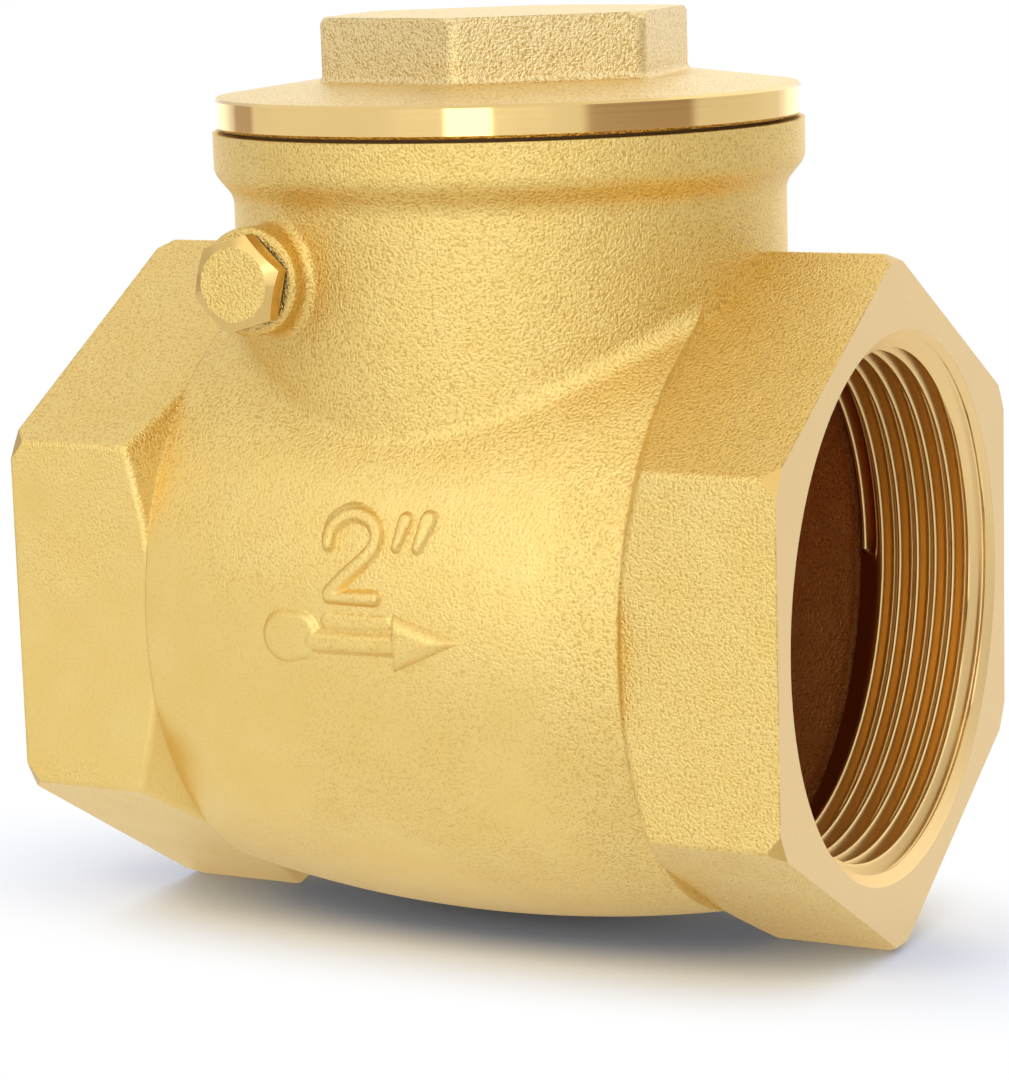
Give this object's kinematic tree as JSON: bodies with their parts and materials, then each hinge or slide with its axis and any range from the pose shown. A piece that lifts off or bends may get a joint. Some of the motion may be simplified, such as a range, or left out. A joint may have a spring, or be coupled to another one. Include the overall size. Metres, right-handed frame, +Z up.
{
  "type": "swing check valve",
  "caption": "Threaded brass swing check valve: hexagon pipe ends, bulged barrel, screwed hexagon cap on an upright neck, side pin plug, and a hinged disc inside that opens with the flow.",
  "frame": {"origin": "on the pipe axis, at the centre of the inlet port where its thread starts, one mouth chamfer inside the inlet end face", "axes": "+X along the pipe axis with the flow, from inlet to outlet; +Z up the neck towards the cap; +Y completes a right-handed frame, so the pin plug is on the -Y side"},
  "size_m": [0.0933, 0.0756, 0.1046],
  "materials": {
    "valve_body": "sand-cast and fine-blasted satin brass, machined bright at its faces",
    "bonnet_cap": "sand-cast and fine-blasted satin brass, machined bright at its faces",
    "cap_gasket": "pressed fibre, matt",
    "hinge_pin": "drawn stainless rod",
    "hinge_pin_plug": "turned and polished brass",
    "plug_washer": "soft sealing washer, dark",
    "disc_hanger": "cast brass, bored",
    "disc_holder": "turned brass",
    "seat_facing": "moulded nitrile rubber",
    "facing_plate": "pressed brass",
    "facing_screw": "turned brass",
    "hanger_washer": "pressed brass",
    "hanger_nut": "turned brass",
    "split_pin": "stainless wire"
  },
  "bodies": {
    "body": {"valve_body": "valve_body", "bonnet_cap": "bonnet_cap", "cap_gasket": "cap_gasket", "hinge_pin": "hinge_pin", "hinge_pin_plug": "hinge_pin_plug", "plug_washer": "plug_washer"},
    "hanger": {"disc_hanger": "disc_hanger"},
    "disc": {"disc_holder": "disc_holder", "seat_facing": "seat_facing", "facing_plate": "facing_plate", "facing_screw": "facing_screw", "hanger_washer": "hanger_washer", "hanger_nut": "hanger_nut", "split_pin": "split_pin"}
  },
  "joints": [
    {"name": "disc_swing", "type": "hinge", "parent": "body", "child": "hanger", "pos_m": [0.02905, 0, 0.03805], "axis": [0, -1, 0], "range_deg": [0, 57]},
    {"name": "disc_spin", "type": "hinge", "parent": "hanger", "child": "disc", "pos_m": [0.02475, 0, 0], "axis": [0.9945, 0, 0.1045], "continuous": true}
  ]
}
